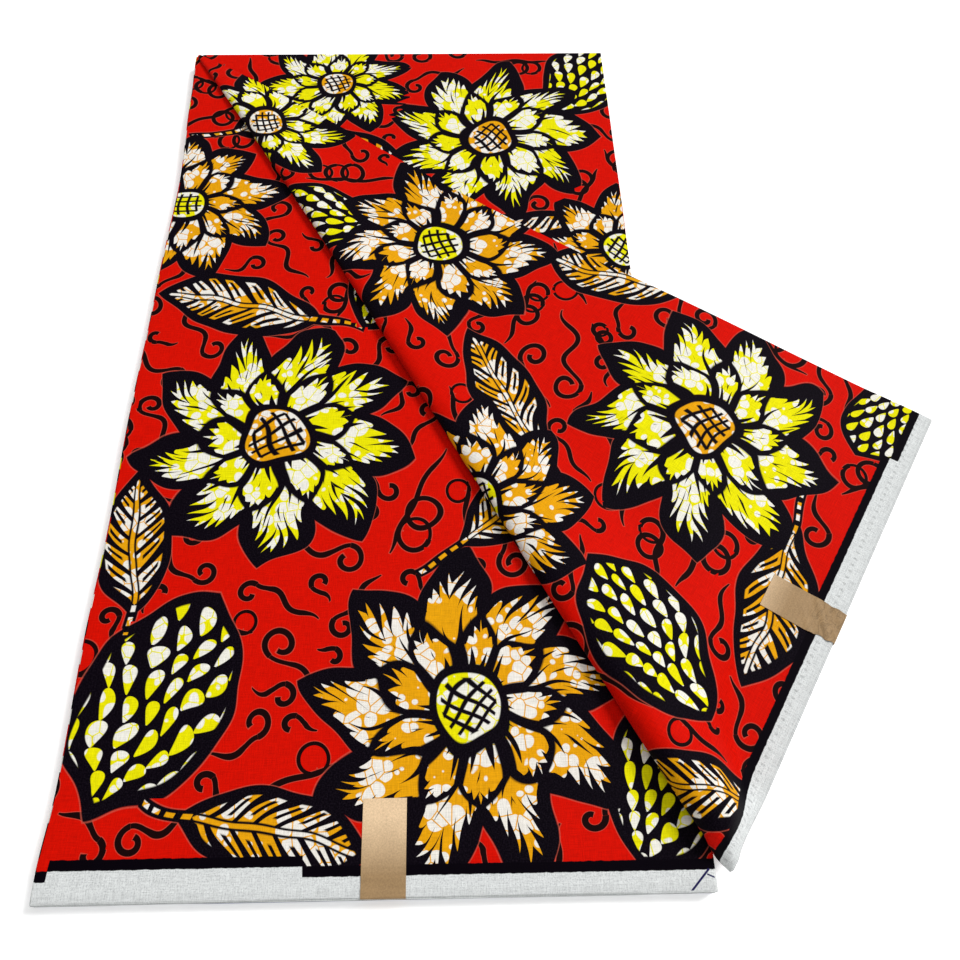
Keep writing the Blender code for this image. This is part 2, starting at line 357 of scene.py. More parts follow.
def claimFaces(corners, motifs, span):
    # which motif holds each face, and the face's corners in that motif's coordinates
    middle = corners.mean(axis=1)
    best = np.ones(len(corners))
    owner = np.full(len(corners), -1)
    for number, motif in enumerate(motifs):
        reach = span(localPlaces(middle, motif), motif)
        closer = reach < best
        best = np.where(closer, reach, best)
        owner = np.where(closer, number, owner)
    places = np.full(corners.shape, 50.0)  # far outside every motif
    for number, motif in enumerate(motifs):
        mine = owner == number
        places[mine] = localPlaces(corners[mine], motif)
    return owner, places


def motifMaps(corners, side):
    # the UV maps and face numbers that the print's shader reads
    layout = layouts[side]
    blooms = rowsOf(bloomColumns, layout["blooms"])
    leaves = rowsOf(leafColumns, layout["leaves"])
    curls = scatterCurls(layout["seed"], blooms, leaves)
    print(side, "curls:", len(curls))
    bloomOwner, bloomPlaces = claimFaces(corners, blooms, lambda local, motif: bloomSpan(local))
    leafOwner, leafPlaces = claimFaces(corners, leaves, leafSpan)
    curlOwner, curlPlaces = claimFaces(corners, curls, curlSpan)
    # the last row of each table is for faces that no motif holds
    inkNumbers = np.array([one["ink"] == "orange" for one in blooms] + [False], float)
    kindNumbers = np.array([one["kind"] == "pod" for one in leaves] + [False], float)
    tails = np.array([[one["reach"], one["lift"], one["turns"]] for one in curls] + [[0.0, 0.0, 0.0]])
    spirals = [[one["back"], one["pitch"], curl["stroke"] / one["size"]] for one in curls] + [[0.0, 1.0, 0.1]]
    coils = np.array([[one["coils"], 0.0, 0.0] for one in curls] + [[0.0, 0.0, 0.0]])
    kinds = np.stack([inkNumbers[bloomOwner], kindNumbers[leafOwner], bloomOwner * 3.7 + 20], axis=-1)
    numbers = {"kinds": kinds, "tails": tails[curlOwner], "spirals": np.array(spirals)[curlOwner],
               "coils": coils[curlOwner]}
    return {"bloom": bloomPlaces, "leaf": leafPlaces, "curl": curlPlaces}, numbers


def outsideLens(x, aside, arc, inset):
    # distance outside an outline of two arcs
    return (x * x + (aside + inset) * (aside + inset)).root() - arc


def petalRing(net, radius, angle, ring, seed):
    # (distance outside the petals, painted part) of one ring of lens-shaped petals
    count = bloom["petals"]
    long = (ring["to"] - ring["from"]) / 2
    arc, inset = lensArc(long, ring["wide"])
    turns = angle * (count / math.tau) + ring["shift"]
    number = turns.nearest()
    lean = (turns - number) * (math.tau / count)
    along = radius * lean.cos() - (ring["from"] + long)
    aside = radius * lean.sin()
    edge = outsideLens(along, abs(aside), arc, inset)
    seam = bloom["seam"] - radius * (math.pi / count - abs(lean)).sin()
    sideways = abs(aside) + inset
    end = ((arc ** 2 - sideways * sideways) | 0.0004).root()
    share = (along / end + 1) * 0.5
    # feathered ends: each line of the petal is painted from a chance place to another
    lines = (abs(aside) - along * bloom["slant"]) * bloom["teeth"] + 40.5
    tooth = abs(lines.rest() - 0.5) * 2
    half = number + over(aside, 0.001) * 0.5
    chance = net.chance(lines.floor(), half, seed)
    other = (chance * 7.13).rest()
    fromBase = share / ((chance * bloom["uneven"] + bloom["shortest"]) * ring["base"]) + tooth
    fromTip = (1 - share) / ((other * bloom["uneven"] + bloom["shortest"]) * ring["tip"]) + 1 - tooth
    painted = over(0 - (edge | seam), 0.008) * over((fromBase & fromTip) - 1, 0.07)
    return edge, painted


def bloomPrint(net, x, y, seed):
    # (distance outside the bloom, painted part, part in the second ink)
    radius = (x * x + y * y).root()
    angle = y.angleFrom(x) + radius * bloom["swirl"]
    outerEdge, outer = petalRing(net, radius, angle, bloom["outer"], seed)
    innerEdge, inner = petalRing(net, radius, angle, bloom["inner"], seed + 7.0)
    edge = outerEdge & (innerEdge & (radius - bloom["outer"]["from"] * 2))
    painted = mixed(over(bloom["margin"] * bloom["overlap"] - innerEdge, 0.012), outer, inner)
    turn = bloom["turn"]
    lines = []
    for first, second in ((math.cos(turn), math.sin(turn)), (-math.sin(turn), math.cos(turn))):
        place = ((x * first + y * second) / bloom["hatch"] + 20.0).rest()
        lines.append(over(bloom["line"] - abs(place - 0.5) * bloom["hatch"], 0.007))
    hatch = (lines[0] | lines[1]) * over(bloom["disc"] - 0.03 - radius, 0.008)
    onDisc = over(bloom["disc"] + bloom["rim"] - radius, 0.008)
    disc = over(bloom["disc"] - radius, 0.008) * (1 - hatch)
    return edge, mixed(onDisc, painted, disc), onDisc


def leafPrint(x, y):
    # (distance outside the leaf, painted part)
    arc, inset = lensArc(1, leaf["wide"])
    aside = abs(y)
    edge = outsideLens(x, aside, arc, inset)
    half = ((arc ** 2 - x * x) | 0.001).root() - inset
    share = aside / (half | 0.02)
    cells = ((x - aside * leaf["slant"]) * leaf["pairs"] + 20.0).rest()
    between = abs(cells - 0.5) * 2
    blade = over(leaf["cell"] - share * share * leaf["taper"] - between, 0.05)
    blade = blade * over(aside - leaf["gap"], 0.012)
    slit = over(leaf["slit"] - between, 0.05) * within(share, *leaf["slitSpan"], 0.04)
    rib = over(leaf["rib"] - aside, 0.008) * within(x, *leaf["ribSpan"], 0.01)
    fromStalk = abs(y - stalkMiddle(x))
    onStalk = within(x, -leaf["stalk"], -leaf["stalkEnd"], 0.01)
    dashes = over((x * leaf["dashes"] + 20.0).rest() - 0.42, 0.05) * onStalk
    dashes = dashes * over(leaf["dash"] - fromStalk, 0.008)
    painted = (blade * (1 - slit) | rib) * over(0 - edge - leaf["margin"], 0.012) | dashes
    return edge & (fromStalk - leaf["stalkHalf"] + (1 - onStalk)), painted


def podPrint(net, x, y):
    # (distance outside the pod, painted part): rows of drops that fan out from its root
    arc, inset = lensArc(1, pod["wide"])
    edge = outsideLens(x, abs(y), arc, inset)
    reach = x + pod["root"]
    radius = (reach * reach + y * y).root() * pod["rows"]
    row = radius.floor()
    place = radius.rest()
    cells = y.angleFrom(reach) * (row + 0.8) * pod["fan"] + row * 0.5 + 20.5
    beside = abs(cells.rest() - 0.5) * 2
    chance = net.chance(cells.floor(), row, 2.0)
    drop = (place * (1 - place)).root() * (place * 0.65 + 0.35) * (chance * pod["uneven"] + pod["full"])
    painted = over(drop - beside, 0.06) | over(0.085 - beside, 0.04)
    return edge, painted * over(0 - edge - pod["margin"], 0.012)


def curlPrint(net, x, y):
    # distance inside the curl's stroke: its spiral or first loop, its tail, and the next loop of a row
    reach, lift, turns = net.numbers("tails")
    back, pitch, stroke = net.numbers("spirals")
    coilCount, _, _ = net.numbers("coils")
    coil = (x / curl["coil"]).floor()
    coilX = x - ((coil | 0.0) & coilCount) * curl["coil"]
    nextX = x - (((coil + 1) | 0.0) & coilCount) * curl["coil"]
    onNext = (stroke - abs((nextX * nextX + y * y).root() - 1)) & (coilCount * 9 - 4)
    radius = (coilX * coilX + y * y).root()
    part = (-0.25 - y.angleFrom(coilX) / math.tau).rest()
    whole = (((1 - radius) / pitch - part).nearest() | 0.0) & 1.0
    turned = whole + part
    onSpiral = (stroke - abs(1 - radius - turned * pitch)) & (turns - turned) * 2.0
    phase = x * (math.tau / curl["wave"])
    middle = (1 - phase.cos()) * lift * 0.5 - 1
    slope = phase.sin() * lift * (math.pi / curl["wave"])
    fromTail = abs(y - middle) / (slope * slope + 1).root()
    toEnds = (x + back) & (reach - x)
    taper = (((x + back) | (back * -4.0 + 1.0)) & (reach - x)) * curl["taper"] + 0.25
    onTail = (stroke * (taper & 1.0) - fromTail) & toEnds
    return (onSpiral | onTail) | onNext


def stepped(net, x, steps):
    # a width that changes at the given places across the panel
    width = net.node("ShaderNodeMath", {"operation": "MULTIPLY"}, {0: x, 1: 0.0}) + steps[0][1]
    for (_, before), (place, after) in zip(steps, steps[1:]):
        width = width + over(x - place, 0.3) * (after - before)
    return width


def penStroke(x, y, start, end, half):
    # a pen mark between two places, of this half width
    length = math.dist(start, end)
    goX, goY = (end[0] - start[0]) / length, (end[1] - start[1]) / length
    along = (x - start[0]) * goX + (y - start[1]) * goY
    aside = (x - start[0]) * goY - (y - start[1]) * goX
    return over(half - abs(aside), 0.25) * within(along, 0.0, length, 0.2)


# What the layers show at the stack's sides, in millimetres: chances of the inks, where the folds end, and how
# much painted shade darkens the gaps between layers, less on the selvedges
folds = {"pair": 0.6, "bit": 7.5, "bits": ((0.46, "navy"), (0.76, "yellow"), (0.86, "white")),
         "lineFrom": -276.0, "bareFrom": -280.8, "blue": 0.55, "gapShade": 0.45, "selvedgeGapShade": 0.25}


def sideColours(net, run, height, shown):
    # bits of the print at the folds, white selvedges at the near end, and painted shade in the gaps between
    # layers
    atFold, atSelvedge, _ = net.numbers("sides")
    layer = (height / folds["pair"]).floor()
    bit = (run / folds["bit"] + net.chance(layer, 3.0, 1.0) * 9.0 + 90.0).floor()
    chance = net.chance(bit, layer, 5.0)
    edges = inks["red"]
    for least, ink in folds["bits"]:
        edges = net.colour(over(chance - least, 0.001), edges, inks[ink])
    edges = net.colour(over(folds["lineFrom"] - run, 0.3), edges, inks["navy"])
    edges = net.colour(over(folds["bareFrom"] - run, 0.3) | atSelvedge, edges, inks["selvedge"])
    edges = net.colour(within(height, 0.25, 0.75, 0.1) * atSelvedge * folds["blue"], edges, inks["blue"])
    # painted shade: a dark line in the gap between each two layers, lighter on the selvedges
    gapShade = over(abs((height / folds["pair"] * 2).rest() - 0.5) - 0.36, 0.1)
    edges = net.scaled(edges, 1 - gapShade * (folds["gapShade"] - atSelvedge * folds["selvedgeGapShade"]))
    return net.colour((atFold | atSelvedge) & 1.0, shown, edges)


# Where the wax broke: how fine its cells and patches are, per millimetre, and how much of it shows
wax = {"cell": 0.145, "uneven": 0.95, "crack": 0.04, "patch": 0.05, "least": 0.33, "spread": 2.5}


def brokenWax(net, flat):
    # white cells and bubbles, parted by a network of dye
    cell = {"Vector": flat, "Scale": wax["cell"], "Randomness": wax["uneven"]}
    bubbles, cracks = [net.node("ShaderNodeTexVoronoi", {"voronoi_dimensions": "2D", "feature": kind}, cell)
                       for kind in ("F1", "DISTANCE_TO_EDGE")]
    chance, _, _ = net.parts(bubbles.beside("Color"))
    patches = net.noise(flat, wax["patch"], 1.0)
    bubble = over((patches - wax["least"]) * wax["spread"] * (chance * 0.6 + 0.7) - bubbles, 0.05)
    return bubble * over(cracks - wax["crack"], 0.035)


def nearBorder(net, flat, speckles, border, shown):
    # dark frame line and bare selvedge along the near edge, with painted shade at the selvedge's edge, its
    # pin holes and pen marks
    x, y, _ = net.parts(flat)
    fromEdge = stepped(net, x, border["widths"]) + (net.noise(flat, 0.35, 2.0) - 0.5) * 0.7 - y
    shown = net.colour(over(fromEdge + border["line"], 0.25), shown, inks["navy"])
    bare = net.colour(over(0.42 - speckles, 0.14) * 0.6, inks["selvedge"], inks["mottle"])
    # painted shade: speckled darkening over the selvedge's last 3.6 mm, as if it rolled away from the light,
    # and a painted shadow line along its very edge
    edgeShade = over(3.6 - y, 1.0) * over(speckles - 0.46, 0.2) * 0.07 | over(0.42 - y, 0.2) * 0.2
    shown = net.colour(over(fromEdge, 0.25), shown, net.scaled(bare, 1 - edgeShade))
    if border["pins"]:
        pinX = ((x + 400.0) / border["apart"]).rest() - 0.5
        pinY = (y - border["pins"] + pinX * 1.5) / border["apart"]
        pins = over(0.16 - (pinX * pinX + pinY * pinY * 0.35).root(), 0.1) * over(0.62 - speckles, 0.3)
        shown = net.colour(pins * 0.28, shown, inks["navy"])
    for mark in border["marks"]:
        shown = net.colour(penStroke(x, y, *mark), shown, inks["pen"])
    return shown


# Share of the inks' lightness, how far uneven yarns change it, their fineness each way, and how far hand-cut
# motifs wander from their maps
cotton = {"tone": 0.88, "yarn": 0.48, "warp": (2.6, 0.16), "weft": (0.14, 2.8), "relief": 0.12 * mm,
          "roughness": 0.62, "gloss": 0.03, "sheen": 0.01, "drift": 0.035, "wander": 0.16, "curlWander": 0.4}


def printedCotton(name, border):
    net = Net(name)
    flat = net.scaled(net.uv("flat"), 1 / mm)
    flatX, flatY, _ = net.parts(flat)
    driftX, driftY, _ = net.parts(net.noise(flat, cotton["drift"], 0.0, output="Color"))

    def motifPlace(uvMap, wander):
        x, y, _ = net.parts(net.uv(uvMap))
        return x + (driftX - 0.5) * wander, y + (driftY - 0.5) * wander

    bloomInk, leafKind, bloomSeed = net.numbers("kinds")
    bloomEdge, bloomPainted, onDisc = bloomPrint(net, *motifPlace("bloom", cotton["wander"]), bloomSeed)
    onBloom = over(bloom["margin"] - bloomEdge, 0.007)
    leafPlace = motifPlace("leaf", cotton["wander"])
    leafEdge, leafPainted = leafPrint(*leafPlace)
    podEdge, podPainted = podPrint(net, *leafPlace)
    leafEdge = mixed(leafKind, leafEdge, podEdge)
    leafPainted = mixed(leafKind, leafPainted, podPainted)
    insideCurl = curlPrint(net, *motifPlace("curl", cotton["curlWander"]))

    halo = over(0.004 - abs(bloomEdge - bloom["margin"] - 0.003), 0.005)
    halo = (halo | over(0.006 - abs(leafEdge - 0.004), 0.007)) * 0.6
    onShape = onBloom | over(0 - leafEdge, 0.009)
    painted = mixed(onBloom, leafPainted, bloomPainted)
    orange = mixed(onBloom, 1 - leafKind, abs(bloomInk - onDisc))
    speckles = net.noise(flat, 1.3, 3.0, 0.75)

    dyed = net.colour(orange, inks["yellow"], inks["orange"])
    dyed = net.colour(brokenWax(net, flat) * 0.95, dyed, inks["white"])
    shown = net.colour(over(insideCurl + curl["rim"], 0.03) * 0.55, inks["red"], inks["halo"])
    shown = net.colour(over(insideCurl, 0.03), shown, inks["brown"])
    shown = net.colour(halo, shown, inks["halo"])
    shown = net.colour(onShape, shown, net.colour(over(speckles - 0.60, 0.3), inks["navy"], inks["worn"]))
    shown = net.colour(painted * onShape, shown, dyed)
    shown = nearBorder(net, flat, speckles, border, shown)
    shown = sideColours(net, flatX, flatY, shown)

    warp, weft = [net.noise(net.vector(flatX * across, flatY * along), 1.0, 2.0)
                  for across, along in (cotton["warp"], cotton["weft"])]
    yarns = warp + weft
    shown = net.scaled(shown, (yarns - 1.0) * (cotton["yarn"] * cotton["tone"]) + cotton["tone"])
    print(name, "nodes:", len(net.tree.nodes))
    return net.finish({"Base Color": shown, "Roughness": cotton["roughness"],
                       "Specular IOR Level": cotton["gloss"], "Sheen Weight": cotton["sheen"],
                       "Sheen Roughness": 0.5, "Normal": net.bump(yarns, cotton["relief"], 0.55)})


print("materials")
# Near edges, in millimetres: (from, width) of the bare selvedge, its frame line and pin holes, and pen marks
# as (start, end, half width)
stackCotton = printedCotton("stack cotton", {
    "widths": ((-200, 8.9), (-147.5, 13.4), (-34.0, 9.0)), "line": 4.6, "pins": 0.0,
    "marks": (((140.4, -0.6), (150.0, 9.3), 0.48), ((148.9, 7.1), (153.4, 5.1), 0.34))})
panelCotton = printedCotton("panel cotton", {
    "widths": ((-200, 7.4), (-113.0, 12.2), (2.0, 9.2)), "line": 4.6, "pins": 6.7, "apart": 4.3, "marks": ()})


# The paper's colours, with a painted gloss that is lighter at the inner end and shades to tan, and places
# along it in millimetres: where the painted gloss fades to tan, its bands and its crumpled end
paperLook = {"light": inkOf(224, 194, 156), "tan": inkOf(156, 127, 90), "glossFade": 21.6, "glossFadeRun": 25.2,
             "bands": (29.0, 45.0), "crumpled": 47.0, "edge": 47.2}


def labelPaper():
    net = Net("label paper")
    place = net.scaled(net.uv("flat"), 1 / mm)
    across, along, _ = net.parts(place)
    grain = net.noise(place, 1.15, 3.0, 0.8)
    wrinkles = net.noise(net.vector(across * 0.13, along * 0.24), 1.0, 1.5, distortion=0.9)
    cloud = net.noise(place, 0.12, 2.0)
    # painted highlight and shade: light at the inner end, fading to tan further along
    glossFade = over(along - paperLook["glossFade"], paperLook["glossFadeRun"])
    shade = net.colour(glossFade, paperLook["light"], paperLook["tan"])
    crumpled = over(along - paperLook["crumpled"], 3.0)
    # painted shade along the wrinkles of the crumpled end, and a little over the whole crumpled end
    creaseShade = over(0.035 - abs(wrinkles - 0.5), 0.04) * crumpled
    bands = (along * 2.4).sin() * within(along, *paperLook["bands"], 4.0) * 0.025
    edge = over(0.5 - abs(along - paperLook["edge"]), 0.4) * 0.09
    light = (grain - 0.5) * 0.75 + (cloud - 0.5) * 0.16 + bands + edge
    shade = net.scaled(shade, light + 1.0 - creaseShade * 0.22 - crumpled * 0.02)
    return net.finish({"Base Color": shade, "Roughness": 0.55, "Specular IOR Level": 0.15,
                       "Normal": net.bump(grain * 0.2 + wrinkles * crumpled * 1.6, 0.4 * mm, 0.6)})


def ease(value):
    value = np.clip(value, 0.0, 1.0)
    return value * value * (3 - 2 * value)


# The turned panel's map, the same as the frame's: metres
turn = {"overhang": 0.004, "overrun": 0.0105, "gap": 0.0003, "wall": 0.001, "bow": 0.002, "bowCrest": 0.18,
        "bowHalfWave": 0.42, "radiusFar": 0.0009, "radiusGrowth": 0.0115, "slope": 5.0, "hollow": 0.314,
        "hollowSkew": 0.22, "farCut": 0.003, "nearCut": 0.001, "innerCut": 0.0034, "bendStart": 0.632,
        "bendRadius": 0.008, "bendMost": 0.69, "droopStart": 0.156, "droopRun": 0.150, "droopRunTip": 0.0205,
        "droopFrom": 0.45, "droopTo": 0.60, "clear": 0.0003, "layer": 0.00038, "layerPlace": 0.00026,
        "peek": 0.0009, "rows": 168, "rowShares": (0.20, 0.52, 0.28), "columns": 128, "flatStep": 0.0038,
        "rollColumns": 26, "slopeColumns": 14}
# The roll's section is flatter than the frame's round one, and meets it near the tip: in radii of the round
roll = {"under": (1.0, 0.60), "over": (1.55, 0.90), "slope": 10.5, "spread": 12.0, "shift": 0.12,
        "fadeFrom": 0.53, "fadeRun": 0.08, "thicker": 0.0017, "thickerFrom": 0.07, "thickerTo": 0.46}
# The tip of the roll is drawn in towards the stack: place, shifts and how far they reach, in metres
tip = {"x": 0.1591, "y": -0.2835, "inward": 0.0019, "inwardReach": 0.040, "aside": 0.0021, "up": 0.0010,
       "asideReach": 0.014}
layerRise = turn["wall"] + turn["gap"]
foldStart = np.array([-halfWidth, halfLength])
foldAlong = np.array([2 * halfWidth + turn["overrun"], -2 * halfLength])
foldAlong = foldAlong / np.linalg.norm(foldAlong)
foldAcross = np.array([-foldAlong[1], foldAlong[0]])


def rollPlaces(offset):
    # (along, across) the fold line of places from its start
    return offset @ foldAlong, -(offset @ foldAcross)


def flatPlaces(along, across):
    return foldStart + along[..., None] * foldAlong - across[..., None] * foldAcross


# The near end of the stack settles a little: metres
settle = {"depth": 0.0012, "reach": 0.020, "fadeFrom": 0.138, "fadeRun": 0.018}


def settled(x, y):
    # how far the top has sunk
    near = ease((settle["reach"] - halfLength - y) / settle["reach"])
    return settle["depth"] * near * (1 - ease((x - settle["fadeFrom"]) / settle["fadeRun"]))


# How the cloth lies: its far and near ends a little askew, its left folds drawn in, in metres
lie = {"farLeft": -0.0038, "farRight": 0.0014, "nearLeft": (-0.0015, 0.0017), "nearRight": (0.0008, 0.0001),
       "drawnIn": 0.0019, "dip": 0.0030, "dipPlace": 0.140, "dipReach": 0.075}

# Soft creases, in millimetres: from, to, half width, height
creaseColumns = ("fromX", "fromY", "toX", "toY", "wide", "high")
creases = {
    "stack": ((-150, 96, -62, 70, 9, -0.50), (-152, -22, -92, -36, 7, -0.42),
              (-44, -118, 40, -148, 14, -0.50), (-126, -238, -58, -262, 10, -0.45),
              (14, -252, 96, -236, 12, -0.40), (-151, -148, -116, -160, 5, -0.38),
              (-140, 196, -104, 222, 7, -0.40), (-20, 20, 14, -14, 8, -0.36)),
    "flap": ((40, 132, 150, 58, 15, 0.50), (168, -6, 262, -52, 12, 0.48), (96, -38, 176, -106, 17, 0.55),
             (252, -96, 236, -166, 9, 0.42), (150, -170, 206, -176, 10, 0.45), (196, 30, 250, -8, 8, 0.36),
             (20, 196, 62, 172, 8, 0.34))}


def creased(side, x, y):
    # height that the soft creases add
    total = np.zeros(np.shape(x))
    for crease in rowsOf(creaseColumns, creases[side]):
        start = np.array([crease["fromX"], crease["fromY"]]) * mm
        step = np.array([crease["toX"], crease["toY"]]) * mm - start
        length = np.linalg.norm(step)
        goX, goY = step / length
        along = ((x - start[0]) * goX + (y - start[1]) * goY) / length
        aside = (x - start[0]) * goY - (y - start[1]) * goX + 0.004 * np.sin(along * 3.1)
        ends = ease(along * 3 + 0.5) * ease((1 - along) * 3 + 0.5)
        total = total + crease["high"] * mm * np.exp(-(aside / (crease["wide"] * mm)) ** 2) * ends
    return total


def rightShare(x):
    # 0 at the stack's left edge, 1 at its right edge
    return np.clip(0.5 + x / halfWidth / 2, 0, 1)


def farShift(x, y):
    return (lie["farLeft"] + (lie["farRight"] - lie["farLeft"]) * rightShare(x)) * ease(y / halfLength)


def stackShift(x, y):
    # sideways and lengthways shifts of the stack's layers
    right = rightShare(x)
    near = ease(-y / halfLength)
    shiftX, shiftY = [near * (atLeft + (atRight - atLeft) * right)
                      for atLeft, atRight in zip(lie["nearLeft"], lie["nearRight"])]
    fromEnds = ease((halfLength - np.abs(y)) / 0.05)
    drawn = lie["drawnIn"] * (1 + 0.25 * np.sin(y * 47))
    drawn = (drawn + lie["dip"] * np.exp(-((y - lie["dipPlace"]) / lie["dipReach"]) ** 2)) * fromEnds
    return shiftX + drawn * (1 - right) ** 3, shiftY + farShift(x, y)


def rollPath():
    # (arc length, sideways, height) of the flatter section, from the flat cloth under it to its crest
    turns = np.linspace(0, math.pi / 2, 160)
    (underWide, underHigh), (overWide, overHigh) = roll["under"], roll["over"]
    side = np.concatenate([underWide * (1 - np.sin(turns)), overWide * (1 - np.cos(turns[1:]))])
    height = np.concatenate([underHigh * (1 - np.cos(turns)), underHigh + overHigh * np.sin(turns[1:])])
    return np.concatenate([[0], np.cumsum(np.hypot(np.diff(side), np.diff(height)))]), side, height


rollArcs, rollSides, rollHeights = rollPath()


def rollRadius(along):
    return turn["radiusFar"] + turn["radiusGrowth"] * along


def foldBow(along):
    # how far the fold line bows out
    return turn["bow"] * np.cos(np.pi * (along - turn["bowCrest"]) / turn["bowHalfWave"])


def takenUp(fall, slope):
    # length of cloth that a soft fall takes up
    return (np.pi * fall / 2) ** 2 / (4 * slope)


def softFall(fall, share):
    # height at this share of the way down to the stack
    return layerRise + fall * (1 + np.cos(np.pi * share)) / 2


def roundRoll(arc, radius):
    # (sideways, height) of the frame's round section and the slope beyond it
    bend = np.clip(arc / radius, 0, np.pi)
    run = np.maximum(arc - np.pi * radius, 0)
    slope = turn["slope"] * radius
    fall = 2 * radius - layerRise
    share = np.minimum(run / slope, 1)
    past = arc > np.pi * radius
    side = radius - radius * np.sin(bend) - np.minimum(arc, 0)
    side = np.where(past, radius + run - takenUp(fall, slope) * share, side)
    return side, np.where(past, softFall(fall, share), radius * (1 - np.cos(bend)))


def flatterRoll(roundArc, roundRadius, along):
    # (sideways, height) of the flatter section, whose far places stay the same as the round one's
    roundTaken = takenUp(2 * roundRadius - layerRise, turn["slope"] * roundRadius)
    thicker = roll["thicker"] * ease(along / roll["thickerFrom"]) * (1 - ease(along / roll["thickerTo"]))
    radius = roundRadius + thicker
    arc = roundArc + thicker
    crest = rollArcs[-1] * radius
    run = np.maximum(arc - crest, 0)
    fall = rollHeights[-1] * radius - layerRise
    slope = roll["slope"] * radius
    share = np.minimum(run / slope, 1)
    taken = takenUp(fall, slope)
    spare = (rollSides[-1] - rollArcs[-1]) * radius + (np.pi - 1) * roundRadius + thicker - taken + roundTaken
    spread = ease(run / (roll["spread"] * radius))
    past = rollSides[-1] * radius + run - taken * share - spare * spread
    side = np.interp(arc / radius, rollArcs, rollSides) * radius - np.minimum(arc, 0)
    side = np.where(arc > crest, past, side)
    side = side + roll["shift"] * radius * ease(2 * arc / crest + 1) * (1 - spread)
    height = np.interp(arc / radius, rollArcs, rollHeights) * radius
    return side, np.where(arc > crest, softFall(fall, share), height)


def clothPoint(along, across):
    # place in space of the turned panel's point at (along, across) the fold line
    radius = rollRadius(along)
    bow = foldBow(along)
    arc = across + radius + bow
    side, rise = roundRoll(arc, radius)
    flatterSide, flatterRise = flatterRoll(arc, radius, along)
    blend = 1 - ease((along - roll["fadeFrom"]) / roll["fadeRun"])
    side = side + blend * (flatterSide - side)
    rise = rise + blend * (flatterRise - rise)
    beyond = np.maximum(along - turn["bendStart"], 0)
    nod = np.minimum(beyond / turn["bendRadius"], turn["bendMost"])
    straight = beyond - turn["bendRadius"] * nod
    reach = np.minimum(along, turn["bendStart"]) + turn["bendRadius"] * np.sin(nod) + straight * np.cos(nod)
    plan = foldStart + reach[..., None] * foldAlong + (side + bow)[..., None] * foldAcross
    x, y = plan[..., 0], plan[..., 1]
    steep = ease((along - turn["droopFrom"]) / (turn["droopTo"] - turn["droopFrom"]))
    droopRun = turn["droopRun"] + (turn["droopRunTip"] - turn["droopRun"]) * steep
    droop = (stackTop + layerRise + turn["gap"] - turn["clear"]) * ease((x - turn["droopStart"]) / droopRun)
    height = stackTop + turn["gap"] + turn["wall"] / 2 + rise - ease(arc / (np.pi * radius)) * droop
    height = height - turn["bendRadius"] * (1 - np.cos(nod)) - straight * np.sin(nod) - settled(x, y)
    height = height + creased("flap", x, y) * ease((arc - np.pi * radius) / (2 * radius))
    fromTip = np.hypot(x - tip["x"], y - tip["y"])
    atTip = 1 - ease(fromTip / tip["asideReach"])
    shiftY = farShift(x, y) + tip["inward"] * (1 - ease(fromTip / tip["inwardReach"]))
    return np.stack([x + tip["aside"] * atTip, y + shiftY, height + tip["up"] * atTip], axis=-1)


def crossNormal(lengthways, sideways):
    # unit normal of the surface that holds both directions
    normal = np.cross(lengthways, sideways)
    return normal / np.linalg.norm(normal, axis=-1, keepdims=True)


def clothNormal(along, across):
    step = 0.0004
    return crossNormal(clothPoint(along + step, across) - clothPoint(along - step, across),
                       clothPoint(along, across + step) - clothPoint(along, across - step))


def panelGrid(overhang, nearCut):
    # (along, across) of each point of the panel's grid
    near = -halfLength - overhang
    corners = np.array([(halfWidth, halfLength), (-halfWidth, near), (halfWidth, near)]) - foldStart
    (farAlong, turnedAlong, nearAlong), (farAcross, turnedAcross, nearAcross) = rollPlaces(corners)
    stops = (turn["farCut"], farAlong, turnedAlong, nearAlong - nearCut)
    counts = [int(turn["rows"] * share) for share in turn["rowShares"]]
    alongs = [np.linspace(a, b, n, endpoint=False) for a, b, n in zip(stops, stops[1:], counts)]
    grid = []
    for along in np.concatenate(alongs + [stops[-1:]]):
        start = np.interp(along, [0, farAlong, nearAlong], [0, farAcross, nearAcross])
        end = np.interp(along, [0, turnedAlong, nearAlong], [0, turnedAcross, nearAcross])
        share = min(along / turnedAlong, 1)
        end -= (share * (1 - share)) ** 2 * (turn["hollow"] + turn["hollowSkew"] * (share - 0.5))
        radius = rollRadius(along)
        lift = -radius - foldBow(along)
        crest = lift + math.pi * radius
        foot = crest + turn["slope"] * radius
        fine = np.linspace(start, end, 1200)
        density = np.full(len(fine), 1 / turn["flatStep"])
        density[(fine > lift) & (fine < crest)] = turn["rollColumns"] / (crest - lift)
        density[(fine >= crest) & (fine < foot)] = turn["slopeColumns"] / (foot - crest)
        total = np.concatenate([[0], np.cumsum((density[1:] + density[:-1]) / 2)])
        across = np.interp(np.linspace(0, total[-1], turn["columns"]), total, fine)
        grid.append(np.stack([np.full(len(across), along), across], axis=-1))
    return np.array(grid)


def rimOf(grid):
    # what a grid holds at its rim, once round
    return np.concatenate([grid[0, :-1], grid[:-1, -1], grid[-1, :0:-1], grid[:0:-1, 0]])


def closedSheet(upper, lower, rings=()):
    # (points, quads) of a closed sheet between two grids of points, its sides through rings round the rim
    rows, columns = upper.shape[:2]
    count = rows * columns
    number = np.arange(count).reshape(rows, columns)
    corners = [number[:-1, :-1], number[1:, :-1], number[1:, 1:], number[:-1, 1:]]
    grid = np.stack(corners, axis=-1).reshape(-1, 4)
    rim = rimOf(number)
    inner = np.arange(len(rings) * len(rim)).reshape(-1, len(rim)) + 2 * count
    quads = [grid, grid[:, ::-1] + count]
    for above, below in zip([rim, *inner], [*inner, rim + count]):
        quads.append(np.stack([above, np.roll(above, -1), np.roll(below, -1), below], axis=-1))
    return np.concatenate([upper.reshape(-1, 3), lower.reshape(-1, 3), *rings]), np.concatenate(quads)


